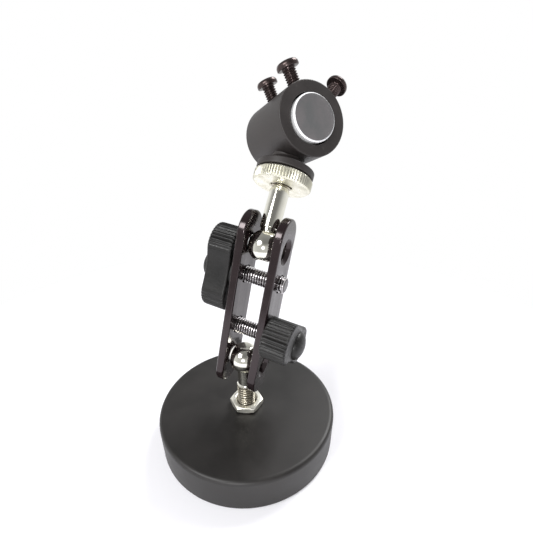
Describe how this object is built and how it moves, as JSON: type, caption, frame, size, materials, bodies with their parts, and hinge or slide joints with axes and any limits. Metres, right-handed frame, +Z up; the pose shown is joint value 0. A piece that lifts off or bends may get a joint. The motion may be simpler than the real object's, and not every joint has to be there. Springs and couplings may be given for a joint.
{
  "type": "helping hands magnifier",
  "caption": "Small lens barrel on a ball-jointed clamp arm with wing knobs, standing on a heavy round base.",
  "frame": {"origin": "middle of the underside of the foot pad, on the surface the stand is put on", "axes": "+Z up; +Y away from the side the lens looks out of, +X to its right"},
  "size_m": [0.0642, 0.0688, 0.1193],
  "materials": {
    "base_paint": "satin black paint",
    "foot_pad": "matt",
    "chrome": "polished",
    "nickel": "bright nickel",
    "plate_black": "gloss black",
    "bolt_steel": "zinc plated",
    "knob_plastic": "moulded, fine texture",
    "barrel_black": "satin black anodised",
    "screw_black": "black oxide",
    "lens_glass": "polished, ground edge"
  },
  "bodies": {
    "base": {"base_body": "base_paint", "base_pad": "foot_pad"},
    "base_nut": {"base_lock_nut": "chrome"},
    "lower_stud": {"lower_ball_stud": "chrome"},
    "clamp": {"left_clamp_plate": "plate_black", "right_clamp_plate": "plate_black"},
    "upper_knob_body": {"upper_knob": "knob_plastic", "upper_clamp_bolt": "bolt_steel"},
    "lower_knob_body": {"lower_knob": "knob_plastic", "lower_clamp_bolt": "bolt_steel"},
    "upper_rod": {"upper_ball_rod": "chrome"},
    "rod_nut": {"knurled_lock_nut": "nickel"},
    "head": {"saddle_collar": "barrel_black", "barrel": "barrel_black", "lens": "lens_glass", "lens_sleeve": "barrel_black", "lens_retaining_ring": "barrel_black"},
    "screw_front_left": {"clamp_screw_front_left": "screw_black"},
    "screw_rear_left": {"clamp_screw_rear_left": "screw_black"},
    "screw_front_right": {"clamp_screw_front_right": "screw_black"},
    "screw_rear_right": {"clamp_screw_rear_right": "screw_black"}
  },
  "joints": [
    {"name": "base_nut_turn", "type": "hinge", "parent": "base", "child": "base_nut", "pos_m": [0, 0, 0.0134], "axis": [0, 0, 1], "range_deg": [0, 270]},
    {"name": "stud_turn", "type": "hinge", "parent": "base", "child": "lower_stud", "pos_m": [0, 0, 0.016], "axis": [0, 0, 1], "range_deg": [-180, 180]},
    {"name": "lower_ball_tilt", "type": "hinge", "parent": "lower_stud", "child": "clamp", "pos_m": [0, 0, 0.032], "axis": [0.8727, -0.4699, -0.1323], "range_deg": [-51, 69]},
    {"name": "lower_knob_turn", "type": "hinge", "parent": "clamp", "child": "lower_knob_body", "pos_m": [0.00206, 0.00083, 0.04267], "axis": [0.8727, -0.4699, -0.1323], "range_deg": [0, 270]},
    {"name": "upper_knob_turn", "type": "hinge", "parent": "clamp", "child": "upper_knob_body", "pos_m": [0.00541, 0.00217, 0.06], "axis": [-0.8727, 0.4699, 0.1323], "range_deg": [0, 270]},
    {"name": "upper_ball_tilt", "type": "hinge", "parent": "clamp", "child": "upper_rod", "pos_m": [0.00731, 0.00293, 0.06985], "axis": [0.8727, -0.4699, -0.1323], "range_deg": [-48, 100]},
    {"name": "rod_nut_turn", "type": "hinge", "parent": "upper_rod", "child": "rod_nut", "pos_m": [0.01306, 0.01194, 0.08489], "axis": [0.3112, 0.4883, 0.8153], "range_deg": [0, 270]},
    {"name": "head_turn", "type": "hinge", "parent": "upper_rod", "child": "head", "pos_m": [0.01909, 0.02141, 0.10071], "axis": [0.3112, 0.4883, 0.8153], "range_deg": [-180, 180]},
    {"name": "front_left_screw_travel", "type": "slide", "parent": "head", "child": "screw_front_left", "axis": [-0.3644, 0.2187, 0.9052], "range_m": [0, 0.004]},
    {"name": "rear_left_screw_travel", "type": "slide", "parent": "head", "child": "screw_rear_left", "axis": [-0.3644, 0.2187, 0.9052], "range_m": [0, 0.004]},
    {"name": "front_right_screw_travel", "type": "slide", "parent": "head", "child": "screw_front_right", "axis": [0.6257, 0.5288, 0.5735], "range_m": [0, 0.004]},
    {"name": "rear_right_screw_travel", "type": "slide", "parent": "head", "child": "screw_rear_right", "axis": [0.6257, 0.5288, 0.5735], "range_m": [0, 0.004]}
  ]
}
